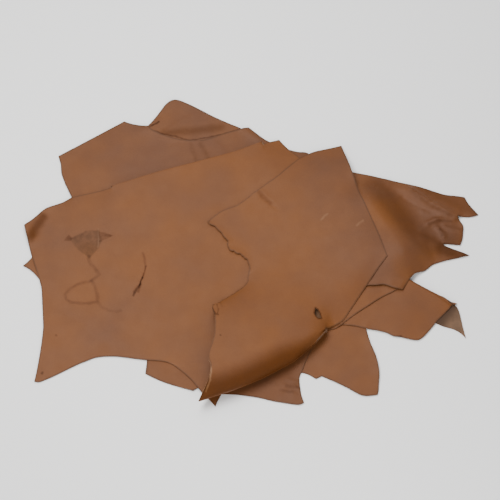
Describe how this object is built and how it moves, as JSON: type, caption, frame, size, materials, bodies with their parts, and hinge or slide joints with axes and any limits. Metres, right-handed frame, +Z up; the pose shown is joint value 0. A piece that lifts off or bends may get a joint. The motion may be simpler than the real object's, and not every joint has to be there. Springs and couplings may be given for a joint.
{
  "type": "leather hide",
  "caption": "Whole tan leather hide lying in a loose heap, one sheet folded back and forth on itself, with ragged cut edges and an open roll along its near side",
  "frame": {"origin": "centre of the heap's box in plan, on the surface that it lies on", "axes": "+X to the right along the heap's longest side, +Y to the far side, +Z up"},
  "size_m": [1.5504, 1.2062, 0.0814],
  "materials": {
    "leather": "smooth semi-matte tan grain side, fine pores, a few scars and grey-brown stains"
  },
  "bodies": {
    "root": {"hide": "leather"}
  },
  "joints": []
}
